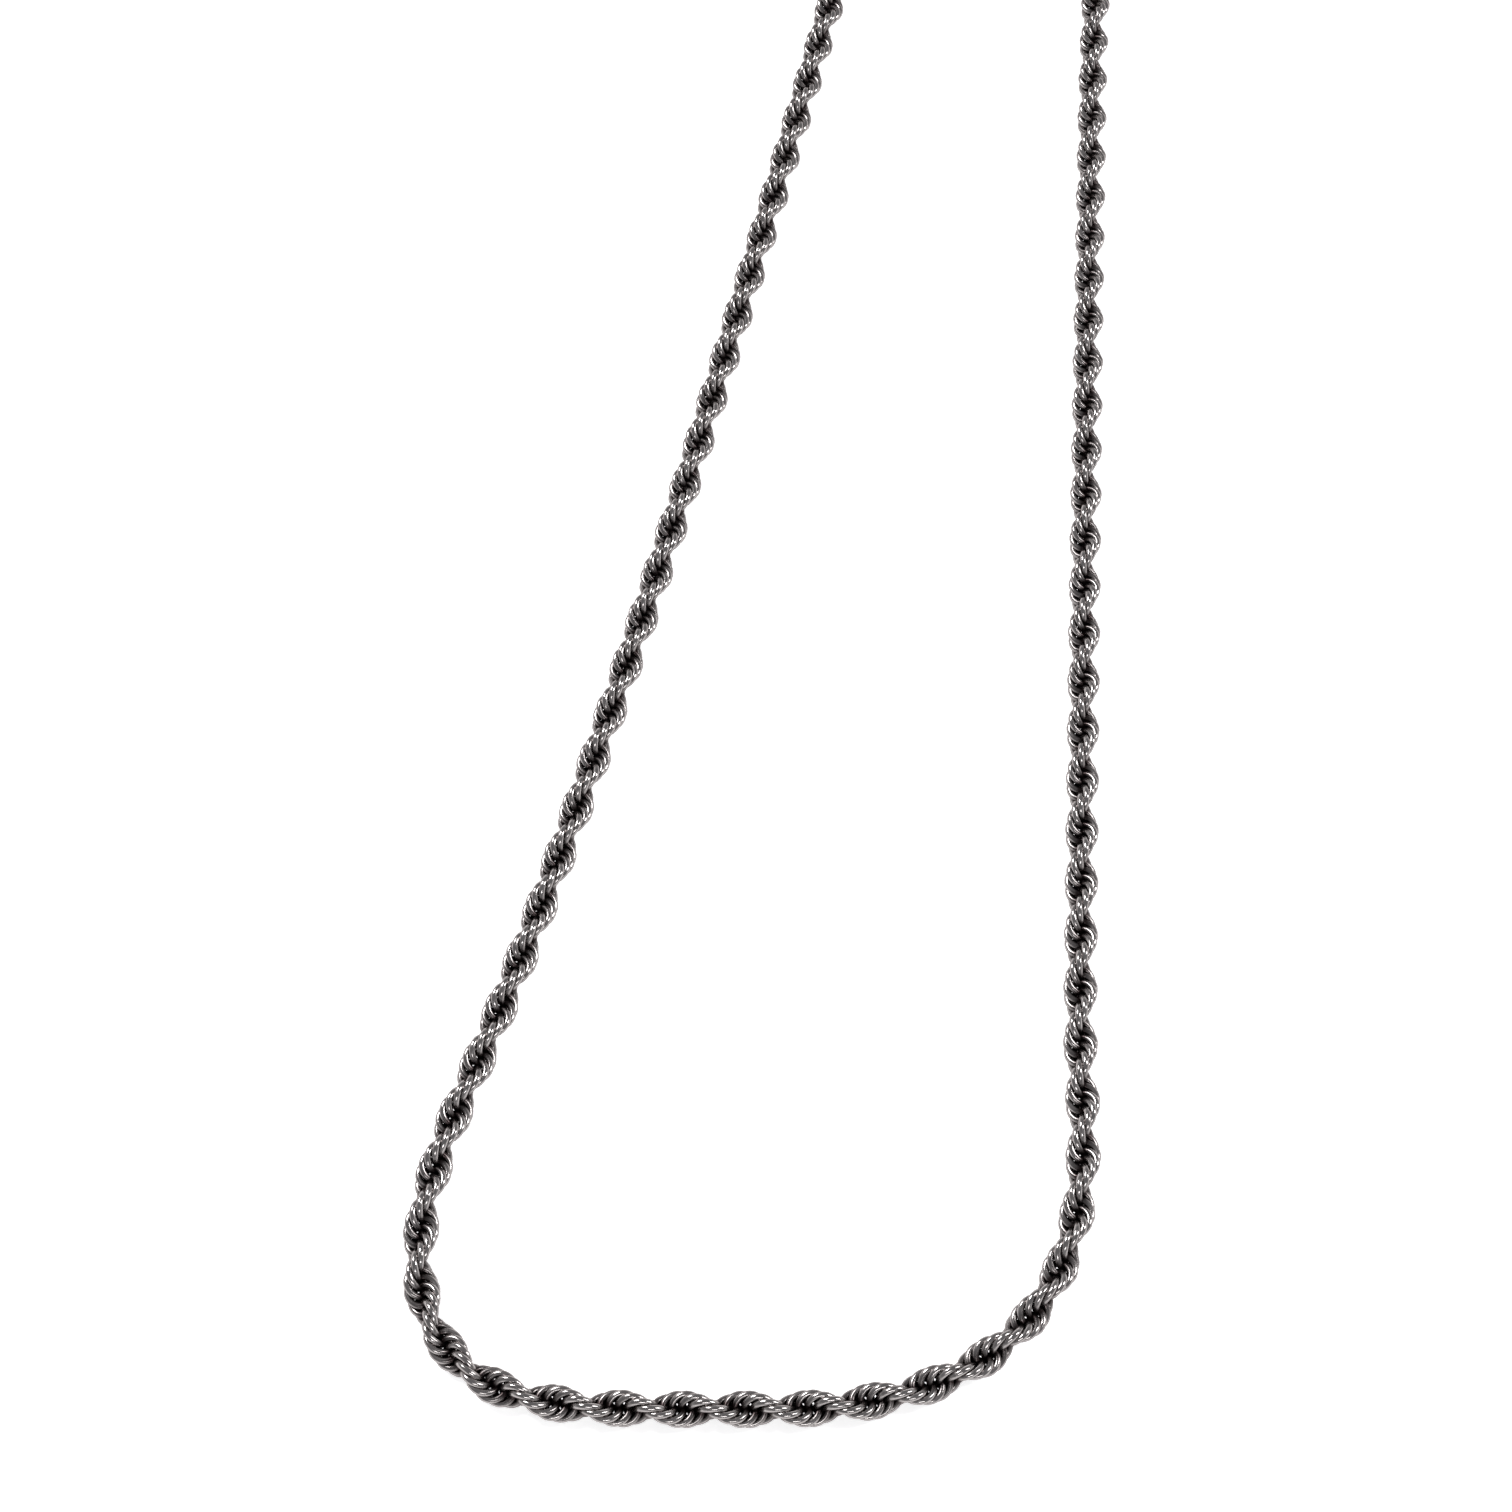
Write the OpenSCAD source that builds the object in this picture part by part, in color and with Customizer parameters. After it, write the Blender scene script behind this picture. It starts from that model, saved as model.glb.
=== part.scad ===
// Twisted rope chain necklace, laid out flat with its clasp open.
// Round wire links, each threaded through the two before it and rolled a fixed step about
// the chain's line, so that together they read as two strands twisted round each other.
// +Z is up, the chain rests on z = 0, and +Y runs from the front of the necklace to its ends.

/* [Chain] */
// Diameter of the link wire
wire_d = 0.52; // [0.4:0.01:0.52]
// Outer diameter of a link, which is the width of the rope
link_d = 3.35; // [3.34:0.005:3.36]
// Distance from one link to the next along the chain
pitch = 1.13; // [1.128:0.001:1.132]
// Angle each link is rolled about the chain's line after the one before
roll_step = 36; // [36]
// Links in each group where the chain bends
bend_links = 10; // [10]
// Links in each firm group between two bends
chain_links = 9; // [9]
// Bending groups on each side, with a firm group after each
side_bends = 11; // [11]

/* [End rings] */
// Outer diameter of the small ring at each end of the chain
jump_ring_d = 2.8; // [2.7:0.05:2.85]
// Wire of the small ring
jump_ring_wire = 0.5; // [0.4:0.02:0.52]
// Hole that the small ring passes through, in the clasp's tail and in the tag
eye_d = 1.6; // [1.4:0.1:1.7]
// Outer diameter of the round end of the tag that the clasp hooks on to
tag_d = 5.6; // [5.2:0.1:6.4]
// Hole in the tag for the clasp's hook
tag_hole_d = 3.8; // [3.4:0.1:4]
// Thickness of the tag
tag_t = 0.8; // [0.6:0.05:0.85]

/* [Clasp] */
// Thickness of the clasp
clasp_t = 2.2; // [2:0.1:2.6]
// Outer radius of the hook
hook_r = 3.1; // [3:0.05:3.3]
// Width of the hook's arm
hook_arm_w = 1.1; // [1:0.05:1.2]
// Thickness of the clasp's tail round its hole
tail_t = 0.8; // [0.6:0.05:0.85]
// Diameter of the rivet that the lever turns on
rivet_d = 0.76; // [0.7:0.02:0.8]
// Running clearance of the lever round the rivet, on the radius
rivet_gap = 0.04; // [0.03:0.01:0.06]
// Thickness of the lever
lever_t = 1.0; // [0.9:0.05:1.05]

/* [Route] */
// Left to right place of the middle of the front
front_x = -15.5; // [-40:0.1:10]
// Front to back place of the middle of the front
front_y = -114.3; // [-130:0.1:0]

/* [Hidden] */
$fn = 32;
// Each stretch of the route is [length, turn]; both sides start at the middle of the front.
right_route = [
  [9, 0], [7, 8], [8, 14], [8, 21], [8, 23], [8, 16], [8, 8],
  [10, -3.5], [110, -0.5], [100, -7]
];
left_route = [
  [7.2, 2.5], [8, 15], [8, 38], [8, 32], [8, 16], [8, 7],
  [12, -2], [14, -2], [50, -2.5], [75, -1], [100, 14]
];

LEFT = -1;
RIGHT = 1;
SIDES = [LEFT, RIGHT];
link_r = link_d / 2 - wire_d / 2;
// No link stands quite upright: the nearest are half a step short of it.
chain_z = link_r * cos(roll_step / 2) + wire_d / 2;
front_half = 6;
last_link = front_half + side_bends * (bend_links + chain_links);
ring_r = jump_ring_d / 2 - jump_ring_wire / 2;
// The small ring passes midway between the tips of the last two links.
ring_x = last_link * pitch + link_r - pitch / 2 + ring_r;
hang_x = ring_x + ring_r;
// Play of the small ring's wire in the eye of what hangs on it
ring_play = 0.15;
eye_x = hang_x + eye_d / 2 - jump_ring_wire / 2 - ring_play;
eye_r = 1.3;
tag_l = 3.3;

hook_x = 7.4;
hook_mid_r = hook_r - hook_arm_w / 2;
hook_hole_r = hook_r - hook_arm_w;
tip_angle = -20;
root_angle = 205;
shoulder = [4.4, -0.6];
shoulder_r = 1.55;
rivet_at = [4.3, -1.1];
lever_end = [8.75, -1.25];
lever_bow = [6.6, -2.1];
lever_eye_r = 0.95;
lever_half_w = 0.42;
thumb_at = [3.4, -2.55];
thumb_root_r = 0.76;
thumb_r = 0.5;
// The clasp is thin up to here, and of its full thickness from here to its hook.
neck_x = 2.4;
slot_x = 2.7;
slot_l = 3.6;
slot_t = lever_t + 0.16;
slot_top = 0.05;
slot_mouth = 4;
spring_t = 0.1;
spring_w = 0.7;
spring_gap = 0.02;
spring_inset = [0.1, 0.2];
through = clasp_t + 1;

function node_name(side, kind, i) =
  str(side == LEFT ? "left_" : "right_", kind, i < 10 ? "_0" : "_", i);

// A place on the route as [x, y, direction], after going a distance l from p while turning by t.
function advance(p, l, t) =
  abs(t) < 1e-9
    ? [p[0] + l * cos(p[2]), p[1] + l * sin(p[2]), p[2]]
    : let (r = l / (t * PI / 180))
      [p[0] + r * (sin(p[2] + t) - sin(p[2])), p[1] - r * (cos(p[2] + t) - cos(p[2])), p[2] + t];
function walk(route, s, i = 0, p = [0, 0, 0]) =
  s <= route[i][0] || i == len(route) - 1
    ? advance(p, s, route[i][1] * s / route[i][0])
    : walk(route, s - route[i][0], i + 1, advance(p, route[i][0], route[i][1]));
function place(s) =
  let (p = walk(s < 0 ? left_route : right_route, abs(s)), m = s < 0 ? LEFT : RIGHT)
  [front_x + m * p[0], front_y + p[1], m * p[2]];

// Puts its children at distance s along the chain, with +X along it towards the right end.
module on_route(s) {
  p = place(s);
  translate([p[0], p[1], chain_z]) rotate([0, 0, p[2]]) children();
}

// The same, but with +X pointing out of the chain's end on either side.
module at_end(side, s) {
  on_route(side * s) rotate([0, 0, side == LEFT ? 180 : 0]) children();
}

module link() {
  rotate_extrude() translate([link_r, 0]) circle(d = wire_d, $fn = 24);
}

module links(first, last) {
  for (k = [first : last]) on_route(k * pitch) rotate([k * roll_step, 0, 0]) link();
}

// The links of one side from one number to another, counted from the middle of the front.
module side_links(side, near, far) {
  color("silver") if (side == LEFT) links(-far, -near); else links(near, far);
}

function bend_start(i) = front_half + (i - 1) * (bend_links + chain_links) + 1;

module bend_group(side, i) {
  side_links(side, bend_start(i), bend_start(i) + bend_links - 1);
}

module chain_group(side, i) {
  side_links(side, bend_start(i) + bend_links, bend_start(i + 1) - 1);
}

module front_chain() {
  color("silver") links(-front_half, front_half);
}

// A small round ring, standing upright through the last link.
module jump_ring(side) {
  color("lightgray") at_end(side, ring_x) rotate([90, 0, 0])
    rotate_extrude() translate([ring_r, 0]) circle(d = jump_ring_wire, $fn = 24);
}

module plate(t) {
  translate([0, 0, -t / 2]) linear_extrude(t) children();
}

// A plate as wide as two circles and their outer tangents, from one place to another.
module bar(a, b, ra, rb, t) {
  d = b - a;
  l = norm(d);
  // Outer tangents of the two circles that round the bar's ends.
  lean = asin((ra - rb) / l);
  plate(t) {
    translate(a) circle(r = ra);
    translate(b) circle(r = rb);
    translate(a) rotate(atan2(d[1], d[0])) polygon([
      [ra * sin(lean), ra * cos(lean)], [l + rb * sin(lean), rb * cos(lean)],
      [l + rb * sin(lean), -rb * cos(lean)], [ra * sin(lean), -ra * cos(lean)]
    ]);
  }
}

// A flat figure of eight with a small eye for its ring and a large hole for the clasp's hook.
module end_tag() {
  color("lightgray") at_end(RIGHT, eye_x) difference() {
    plate(tag_t) {
      circle(r = eye_r);
      translate([tag_l, 0]) circle(d = tag_d);
    }
    cylinder(d = eye_d, h = through, center = true);
    translate([tag_l, 0, 0]) cylinder(d = tag_hole_d, h = through, center = true);
  }
}

// Places the clasp, whose x = 0 is the end of its tail, with the small ring through its eye.
module at_clasp() {
  at_end(LEFT, eye_x - eye_r) children();
}

module clasp_hook() {
  color("silver") at_clasp() difference() {
    union() {
      bar([eye_r, 0], shoulder, eye_r, shoulder_r, tail_t);
      difference() {
        bar([eye_r, 0], shoulder, eye_r, shoulder_r, clasp_t);
        translate([neck_x - 2 * eye_r, -2 * eye_r, -through / 2]) cube([2 * eye_r, 4 * eye_r, through]);
      }
      translate([hook_x, 0, 0]) {
        rotate([0, 0, tip_angle]) rotate_extrude(angle = root_angle - tip_angle)
          translate([hook_mid_r, 0]) square([hook_arm_w, clasp_t], center = true);
        rotate([0, 0, tip_angle]) translate([hook_mid_r, 0, 0])
          cylinder(d = hook_arm_w, h = clasp_t, center = true);
      }
    }
    translate([eye_r, 0, 0]) cylinder(d = eye_d, h = through, center = true);
    translate([rivet_at[0], rivet_at[1], 0]) cylinder(d = rivet_d, h = through, center = true);
    translate([slot_x, -slot_mouth, -slot_t / 2]) cube([slot_l, slot_mouth + slot_top, slot_t]);
    translate([hook_x, 0, 0]) cylinder(r = hook_hole_r, h = through, center = true);
  }
}

module clasp_lever() {
  color("lightgray") at_clasp() difference() {
    union() {
      bar(rivet_at, lever_bow, lever_eye_r, lever_half_w, lever_t);
      bar(lever_bow, lever_end, lever_half_w, lever_half_w, lever_t);
      bar(rivet_at, thumb_at, thumb_root_r, thumb_r, lever_t);
    }
    translate([rivet_at[0], rivet_at[1], 0])
      cylinder(r = rivet_d / 2 + rivet_gap, h = through, center = true);
  }
}

module clasp_rivet() {
  color("gray") at_clasp() translate([rivet_at[0], rivet_at[1], 0])
    cylinder(d = rivet_d, h = clasp_t, center = true);
}

// A leaf spring lying between the lever's eye and the roof of the slot.
module clasp_spring() {
  color("darkgray") at_clasp()
    translate([slot_x + spring_inset[0], slot_top - spring_gap - spring_t, -spring_w / 2])
      cube([slot_l - spring_inset[0] - spring_inset[1], spring_t, spring_w]);
}

front_chain();
for (side = SIDES, i = [1 : side_bends]) {
  bend_group(side, i);
  chain_group(side, i);
}
jump_ring(LEFT);  // left_jump_ring
jump_ring(RIGHT);  // right_jump_ring
end_tag();
clasp_hook();
clasp_lever();
clasp_rivet();
clasp_spring();
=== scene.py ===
"""Twisted rope chain necklace: round wire links, jump rings, an end tag and a lobster clasp."""
import bpy
import math
import random
from mathutils import Matrix, Vector


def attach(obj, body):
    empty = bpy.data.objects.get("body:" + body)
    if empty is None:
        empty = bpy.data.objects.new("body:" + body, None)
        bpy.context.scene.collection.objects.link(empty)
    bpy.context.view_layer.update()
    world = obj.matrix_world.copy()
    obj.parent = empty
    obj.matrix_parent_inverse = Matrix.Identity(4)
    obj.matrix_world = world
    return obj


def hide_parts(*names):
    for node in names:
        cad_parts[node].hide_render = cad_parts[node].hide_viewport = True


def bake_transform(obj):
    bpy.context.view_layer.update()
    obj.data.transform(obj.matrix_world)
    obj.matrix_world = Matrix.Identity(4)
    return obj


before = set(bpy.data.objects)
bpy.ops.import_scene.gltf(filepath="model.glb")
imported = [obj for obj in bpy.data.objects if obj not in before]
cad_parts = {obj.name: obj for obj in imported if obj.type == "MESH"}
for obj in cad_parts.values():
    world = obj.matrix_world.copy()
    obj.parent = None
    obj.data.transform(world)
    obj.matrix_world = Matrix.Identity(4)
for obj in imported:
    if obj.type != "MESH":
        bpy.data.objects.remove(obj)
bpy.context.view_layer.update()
MM = 0.001

# ---- driving dimensions, the same as in part.scad, in millimetres ----
LINK_DIAMETER = 3.35
CAD_WIRE = 0.52
CAD_PITCH = 1.13
CAD_ROLL_STEP = 36
BEND_LINKS, CHAIN_LINKS = 10, 9
SIDE_BENDS = 11
FRONT_X, FRONT_Y = -15.5, -114.3
# Each stretch of the route is (length, turn in degrees); both sides start at the middle of the front.
RIGHT_ROUTE = [
    (9, 0), (7, 8), (8, 14), (8, 21), (8, 23), (8, 16), (8, 8),
    (10, -3.5), (110, -0.5), (100, -7),
]
LEFT_ROUTE = [
    (7.2, 2.5), (8, 15), (8, 38), (8, 32), (8, 16), (8, 7),
    (12, -2), (14, -2), (50, -2.5), (75, -1), (100, 14),
]
CAD_LINK_RADIUS = (LINK_DIAMETER - CAD_WIRE) / 2
# No link stands quite upright: the nearest are half a step short of it.
CHAIN_Z = CAD_LINK_RADIUS * math.cos(math.radians(CAD_ROLL_STEP / 2)) + CAD_WIRE / 2
FRONT_HALF = 6
STEP_LINKS = BEND_LINKS + CHAIN_LINKS
LAST_CAD_LINK = FRONT_HALF + SIDE_BENDS * STEP_LINKS
JUMP_RING_DIAMETER, JUMP_RING_WIRE = 2.8, 0.5
SIDES = {"left": -1, "right": 1}

# ---- the finished rope: the CAD's twist, with heavier wire and 7 links for 5 of the CAD's ----
WIRE = 0.65
CLOSER = 7 / 5
PITCH = CAD_PITCH / CLOSER
ROLL_STEP = CAD_ROLL_STEP / CLOSER
LINK_RADIUS = (LINK_DIAMETER - WIRE) / 2
LAST_LINK = round(LAST_CAD_LINK * CLOSER)
# The jump ring passes through the last link where this one's tip would be.
LEFT_OUT = LAST_LINK - 1

# ---- finish ----
SEED = 7
WIRE_SIDES = 14
LINK_STEPS = 44
# The share of its thickness that the wire loses at a ring's seam
SEAM_DEPTH = 0.10
# How far round a jump ring its seam lies, in degrees
SEAM_TURN = 60
# How far a link may lie off its even roll, in degrees
ROLL_SPREAD = 0.8
# How far each piece's end points lie past its bending group, in links
BLEND_SPARE = 1.5
# Each fitting's body, then how fine its remesh is in mm and how many rounds of smoothing it gets
FITTINGS = {
    "end_tag": ("end_tag", 0.05, 8),
    "clasp_hook": ("clasp", 0.05, 14),
    "clasp_lever": ("clasp_lever", 0.04, 8),
    "clasp_rivet": ("clasp", 0.03, 8),
}
# The metal's wear: patches of tone, dull spots, and scratches or brushing, whose depth is in metres
PATCH_SCALE, PATCH_SPREAD = 900, 0.12
DULL_SCALE, DULL_SPREAD = 2600, 0.05
SCRATCH_SCALE, SCRATCH_STRENGTH = 4200, 0.12
BRUSH_SCALE, BRUSH_STRENGTH = 7000, 0.5
SCRATCH_DEPTH = 0.00002
# Where the painted shade starts to darken the metal's colour towards the rope's line, and where it is
# darkest
SHADE_FROM, SHADE_TO = 0.18, 0.72
# How much rougher the metal is on the rope's line
HOLLOW_ROUGHNESS = 0.2
# At all_max the blend loses this piece's pivot to rounding, unless it is worked out from the far body.
BLENDED_BACKWARDS = {"right_rope_09"}
# The name of the mesh attribute that says how deep in the rope a point lies; it drives the painted
# shade in the rope's hollows
HOLLOW = "hollow"

# ---- studio ----
# Each soft box's place and size in metres, and its power in watts
LIGHTS = {
    "key": ((-0.55, 0.45, 0.8), (0.35, 0.35), 11),
    "fill": ((0.75, 0.1, 0.7), (0.2, 0.5), 6),
    "near": ((0.1, -0.8, 0.75), (0.6, 0.15), 3),
}
# The room's tone up to a low height, and from a middling height upwards
ROOM_LOW = (0.05, (0.9, 0.9, 0.9))
ROOM_HIGH = (0.45, (0.35, 0.35, 0.36))
FLOOR_HALF_M = 3.0


# ---- camera ----
def make_camera():
    """The photograph's view: a camera held over the near side of the necklace, tilted steeply down."""
    height, tilt_down, behind_front, right_of_front = 251.6, 62.4, 64.8, 7.0
    data = bpy.data.cameras.new("camera")
    data.sensor_width = 36
    data.lens = 67.0
    data.clip_start, data.clip_end = 0.01, 10
    camera = bpy.data.objects.new("camera", data)
    bpy.context.scene.collection.objects.link(camera)
    camera.location = Vector((FRONT_X + right_of_front, FRONT_Y - behind_front, height)) * MM
    camera.rotation_euler = (math.radians(90 - tilt_down), 0, 0)
    bpy.context.scene.camera = camera


# ---- route of the chain ----
def place(s):
    """The chain's line at distance s from the middle of the front: x and y in mm, and its direction."""
    x, y, heading, left = 0.0, 0.0, 0.0, abs(s)
    side = -1 if s < 0 else 1
    route = LEFT_ROUTE if s < 0 else RIGHT_ROUTE
    for i, (length, turn) in enumerate(route):
        step = left if i == len(route) - 1 else min(left, length)
        angle = math.radians(turn) * step / length
        chord = step if abs(angle) < 1e-9 else 2 * step / angle * math.sin(angle / 2)
        x += chord * math.cos(heading + angle / 2)
        y += chord * math.sin(heading + angle / 2)
        heading += angle
        left -= step
        if left <= 1e-9:
            break
    return FRONT_X + side * x, FRONT_Y + y, side * heading


def on_route(s):
    """The matrix that puts a shape at distance s, with +X along the chain towards the right end."""
    x, y, heading = place(s)
    return Matrix.Translation((x, y, CHAIN_Z)) @ Matrix.Rotation(heading, 4, "Z")


# ---- meshes ----
def ring(radius, wire):
    """Vertices and faces of a round ring of wire, with a soldered seam at one end."""
    points, faces = [], []
    up = Vector((0, 0, 1))
    for i in range(LINK_STEPS):
        turn = 2 * math.pi * i / LINK_STEPS
        out = Vector((math.cos(turn), math.sin(turn), 0))
        across = out.normalized()
        share = 1 - SEAM_DEPTH * (i == 0)
        here, after = i * WIRE_SIDES, (i + 1) % LINK_STEPS * WIRE_SIDES
        for j in range(WIRE_SIDES):
            a = 2 * math.pi * j / WIRE_SIDES
            around = up * math.sin(a) + across * math.cos(a)
            points.append(out * radius + around * (wire / 2) * share)
            k = (j + 1) % WIRE_SIDES
            faces.append((here + j, after + j, after + k, here + k))
    return points, faces


def mesh_object(name, points, faces, material):
    """A smooth-shaded piece from vertices in millimetres."""
    mesh = bpy.data.meshes.new(name)
    mesh.from_pydata([p * MM for p in points], [], faces)
    mesh.polygons.foreach_set("use_smooth", [True] * len(mesh.polygons))
    mesh.materials.append(material)
    piece = bpy.data.objects.new(name, mesh)
    bpy.context.scene.collection.objects.link(piece)
    return piece


LINK_POINTS, LINK_FACES = ring(LINK_RADIUS, WIRE)
# How deep each point of a link lies in the rope: 0 at its widest, 1 on the rope's own line. It sets the
# painted shade between the links and their extra roughness there.
LINK_HOLLOW = [1 - min(1, math.hypot(p.y, p.z) / (LINK_DIAMETER / 2)) for p in LINK_POINTS]


def rope(name, numbers, material):
    """One piece of chain: the numbered links, each threaded through its neighbours."""
    points, faces, hollow = [], [], []
    for k in numbers:
        roll = math.radians(k * ROLL_STEP + random.uniform(-ROLL_SPREAD, ROLL_SPREAD))
        seat = on_route(k * PITCH) @ Matrix.Rotation(roll, 4, "X")
        # The seams lie at one end of a link and at the other end of the next.
        if k % 2:
            seat = seat @ Matrix.Rotation(math.pi, 4, "Z")
        start = len(points)
        points += [seat @ p for p in LINK_POINTS]
        faces += [tuple(start + i for i in face) for face in LINK_FACES]
        hollow += LINK_HOLLOW
    piece = mesh_object(name, points, faces, material)
    piece.data.attributes.new(HOLLOW, "FLOAT", "POINT").data.foreach_set("value", hollow)
    return piece


def neck(s):
    """The point of the chain's line at distance s, in metres."""
    x, y, _ = place(s)
    return Vector((x, y, CHAIN_Z)) * MM


def make_ropes(material):
    """A piece of chain for each joint, with the links from the body before the joint to the body after
    it.
    """
    reach = (BEND_LINKS / 2 + BLEND_SPARE) * CAD_PITCH
    for name, side in SIDES.items():
        for i in range(1, SIDE_BENDS + 1):
            joint = FRONT_HALF + (i - 1) * STEP_LINKS + (BEND_LINKS + 1) / 2
            near = joint - STEP_LINKS / 2 if i > 1 else 0
            far = joint + STEP_LINKS / 2 if i < SIDE_BENDS else LAST_CAD_LINK + 1
            numbers = range(math.ceil(near * CLOSER), math.ceil(far * CLOSER))
            numbers = [k for k in numbers if k <= LAST_LINK and k != LEFT_OUT]
            if side < 0:
                numbers = [-k for k in numbers if k > 0]
            piece = rope(f"{name}_rope_{i:02d}", numbers, material)
            before = f"{name}_{i - 1:02d}" if i > 1 else "front"
            ends = [(before, neck(side * (joint * CAD_PITCH - reach)))]
            ends.append((f"{name}_{i:02d}", neck(side * (joint * CAD_PITCH + reach))))
            if piece.name in BLENDED_BACKWARDS:
                ends.reverse()
            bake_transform(piece)
            nodes = [f"{name}_bend_{i:02d}", f"{name}_chain_{i:02d}"] + ["front_chain"] * (i == 1)
            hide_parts(*nodes)


def make_jump_rings(material):
    """The ring of finer wire at each end of the chain, standing upright through the last link."""
    radius = (JUMP_RING_DIAMETER - JUMP_RING_WIRE) / 2
    reach = LAST_CAD_LINK * CAD_PITCH + CAD_LINK_RADIUS - CAD_PITCH / 2 + radius
    points, faces = ring(radius, JUMP_RING_WIRE)
    for name, side in SIDES.items():
        seat = on_route(side * reach) @ Matrix.Rotation(math.radians(90), 4, "X")
        seat = seat @ Matrix.Rotation(math.radians(SEAM_TURN), 4, "Z")
        wire = [seat @ p for p in points]
        piece = mesh_object(f"{name}_jump_ring_wire", wire, faces, material)
        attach(piece, f"{name}_jump_ring")
        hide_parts(f"{name}_jump_ring")


def rounded(node, body, grain, rounds, material):
    """A fitting's solid remeshed finely and smoothed, which rounds its edges as tumbling does."""
    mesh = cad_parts[node].data.copy()
    mesh.transform(Matrix.Scale(1 / MM, 4))
    mesh.materials.clear()
    piece = bpy.data.objects.new(f"{node}_tumbled", mesh)
    bpy.context.scene.collection.objects.link(piece)
    remesh = piece.modifiers.new("remesh", "REMESH")
    remesh.mode = "VOXEL"
    remesh.voxel_size = grain
    smooth = piece.modifiers.new("smooth", "SMOOTH")
    smooth.factor, smooth.iterations = 0.5, rounds
    evaluated = piece.evaluated_get(bpy.context.evaluated_depsgraph_get())
    piece.data = bpy.data.meshes.new_from_object(evaluated)
    piece.modifiers.clear()
    piece.data.transform(Matrix.Scale(MM, 4))
    piece.data.polygons.foreach_set("use_smooth", [True] * len(piece.data.polygons))
    piece.data.materials.append(material)
    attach(piece, body)
    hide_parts(node)


# ---- materials ----
def ramp(nodes, *stops):
    """A colour ramp from one (position, colour) to the next."""
    node = nodes.new("ShaderNodeValToRGB")
    for element, (position, color) in zip(node.color_ramp.elements, stops):
        element.position, element.color = position, (*color, 1)
    return node


def metal(name, light, dark, edge, roughness, brushed=False):
    """Polished metal with painted shade darkening its colour in the hollows between wires, duller there
    too, with faint wear marks.

    Its tone goes from light to dark, the dark one being painted shade; edge is its tint where it is
    seen almost along its surface.
    """
    material = bpy.data.materials.new(name)
    material.use_nodes = True
    nodes, links = material.node_tree.nodes, material.node_tree.links
    shader = nodes["Principled BSDF"]
    shader.inputs["Metallic"].default_value = 1.0
    shader.inputs["Specular Tint"].default_value = (*edge, 1)
    coordinates = nodes.new("ShaderNodeTexCoord")

    def noise(scale, detail, low, high):
        texture = nodes.new("ShaderNodeTexNoise")
        texture.inputs["Scale"].default_value = scale
        texture.inputs["Detail"].default_value = detail
        links.new(coordinates.outputs["Object"], texture.inputs["Vector"])
        spread = nodes.new("ShaderNodeMapRange")
        limits = {"From Min": 0.3, "From Max": 0.7, "To Min": low, "To Max": high}
        for limit, value in limits.items():
            spread.inputs[limit].default_value = value
        links.new(texture.outputs["Fac"], spread.inputs["Value"])
        return spread.outputs["Result"]

    def add(a, b):
        total = nodes.new("ShaderNodeMath")
        total.operation = "ADD"
        links.new(a, total.inputs[0])
        links.new(b, total.inputs[1])
        return total.outputs[0]

    hollow = nodes.new("ShaderNodeAttribute")
    hollow.attribute_name = HOLLOW
    patches = noise(PATCH_SCALE, detail=3, low=-PATCH_SPREAD, high=PATCH_SPREAD)
    # Painted shade: the colour darkens towards the rope's line, on top of random patches of tone.
    painted_shade_and_patches = add(hollow.outputs["Fac"], patches)
    tone = ramp(nodes, (SHADE_FROM, light), (SHADE_TO, dark))
    links.new(painted_shade_and_patches, tone.inputs["Fac"])
    links.new(tone.outputs["Color"], shader.inputs["Base Color"])

    dull = nodes.new("ShaderNodeMapRange")
    dull.inputs["To Min"].default_value = roughness
    dull.inputs["To Max"].default_value = roughness + HOLLOW_ROUGHNESS
    links.new(hollow.outputs["Fac"], dull.inputs["Value"])
    spots = noise(DULL_SCALE, detail=4, low=-DULL_SPREAD, high=DULL_SPREAD)
    links.new(add(dull.outputs["Result"], spots), shader.inputs["Roughness"])

    bump = nodes.new("ShaderNodeBump")
    bump.inputs["Strength"].default_value = BRUSH_STRENGTH if brushed else SCRATCH_STRENGTH
    bump.inputs["Distance"].default_value = SCRATCH_DEPTH
    marks = noise(BRUSH_SCALE if brushed else SCRATCH_SCALE, detail=2, low=0, high=1)
    links.new(marks, bump.inputs["Height"])
    links.new(bump.outputs["Normal"], shader.inputs["Normal"])
    return material


def floor_material():
    """A matt near-white that glows a little, so that the floor stays pale where the light falls off."""
    material = bpy.data.materials.new("pale_floor")
    material.use_nodes = True
    shader = material.node_tree.nodes["Principled BSDF"]
    shader.inputs["Base Color"].default_value = (0.93, 0.93, 0.93, 1)
    shader.inputs["Roughness"].default_value = 0.9
    shader.inputs["Specular IOR Level"].default_value = 0.1
    shader.inputs["Emission Color"].default_value = (1, 1, 1, 1)
    shader.inputs["Emission Strength"].default_value = 0.5
    return material


# ---- floor, lights and room ----
def make_floor():
    """The surface that the necklace lies on, wider than any view of it."""
    mesh = bpy.data.meshes.new("floor")
    corners = [(-1, -1), (1, -1), (1, 1), (-1, 1)]
    corners = [(x * FLOOR_HALF_M, y * FLOOR_HALF_M, 0) for x, y in corners]
    mesh.from_pydata(corners, [], [(0, 1, 2, 3)])
    mesh.materials.append(floor_material())
    floor = bpy.data.objects.new("floor", mesh)
    bpy.context.scene.collection.objects.link(floor)


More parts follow.
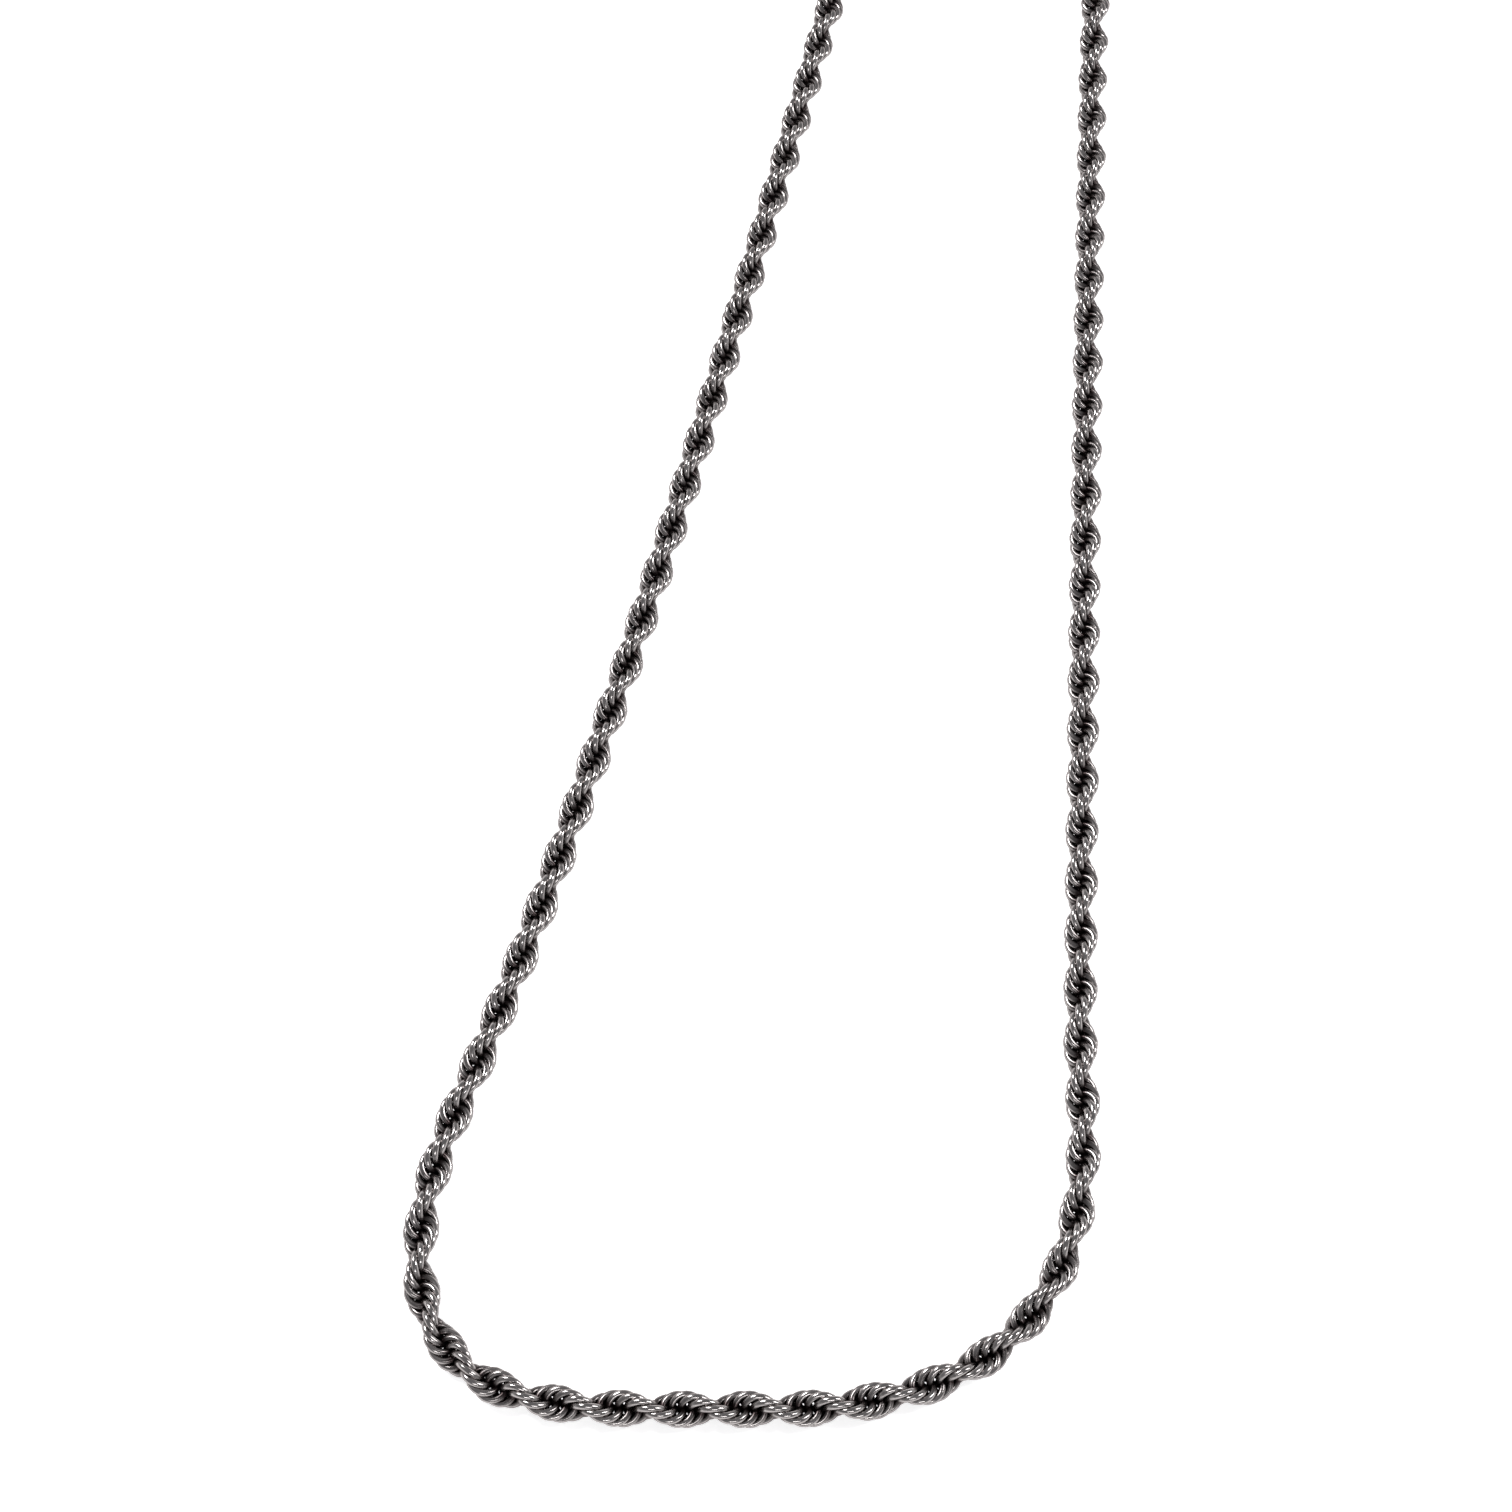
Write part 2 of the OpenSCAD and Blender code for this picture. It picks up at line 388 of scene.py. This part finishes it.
def soft_light(name, place_m, size, watts):
    """A rectangular soft box that faces the middle of the necklace."""
    data = bpy.data.lights.new(name, "AREA")
    data.shape = "RECTANGLE"
    data.size, data.size_y = size
    data.energy = watts
    lamp = bpy.data.objects.new(name, data)
    bpy.context.scene.collection.objects.link(lamp)
    lamp.location = place_m
    lamp.rotation_euler = (-Vector(place_m)).to_track_quat("-Z", "Y").to_euler()


def make_studio():
    """Soft boxes over the necklace, in a room that is pale near the floor and dim overhead."""
    make_floor()
    for name, (place_m, size, watts) in LIGHTS.items():
        soft_light(name, place_m, size, watts)
    world = bpy.data.worlds.new("room")
    world.use_nodes = True
    nodes, links = world.node_tree.nodes, world.node_tree.links
    direction = nodes.new("ShaderNodeTexCoord")
    split = nodes.new("ShaderNodeSeparateXYZ")
    links.new(direction.outputs["Generated"], split.inputs[0])
    height = ramp(nodes, ROOM_LOW, ROOM_HIGH)
    links.new(split.outputs["Z"], height.inputs["Fac"])
    links.new(height.outputs["Color"], nodes["Background"].inputs["Color"])
    bpy.context.scene.world = world
    bpy.context.scene.view_settings.view_transform = "Standard"


# ---- scene ----
random.seed(SEED)
make_camera()
make_studio()
# The chain's dark colour is near-black painted shade in the hollows between its links.
chain_metal = metal(
    "dark_polished_steel",
    light=(0.29, 0.272, 0.268), dark=(0.03, 0.023, 0.023), edge=(0.5, 0.47, 0.47), roughness=0.16,
)
fitting_metal = metal(
    "polished_steel",
    light=(0.36, 0.343, 0.34), dark=(0.3, 0.285, 0.285), edge=(0.6, 0.58, 0.58), roughness=0.16,
)
spring_metal = metal(
    "spring_steel",
    light=(0.4, 0.4, 0.41), dark=(0.25, 0.25, 0.26), edge=(0.7, 0.7, 0.7), roughness=0.32, brushed=True,
)
make_ropes(chain_metal)
make_jump_rings(fitting_metal)
for name, (body, grain, rounds) in FITTINGS.items():
    rounded(name, body, grain, rounds, spring_metal if name == "clasp_rivet" else fitting_metal)
# Of the CAD's own meshes only the spring stays in view.
for name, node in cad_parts.items():
    node.data.materials.clear()
    node.data.materials.append(spring_metal if name == "clasp_spring" else fitting_metal)
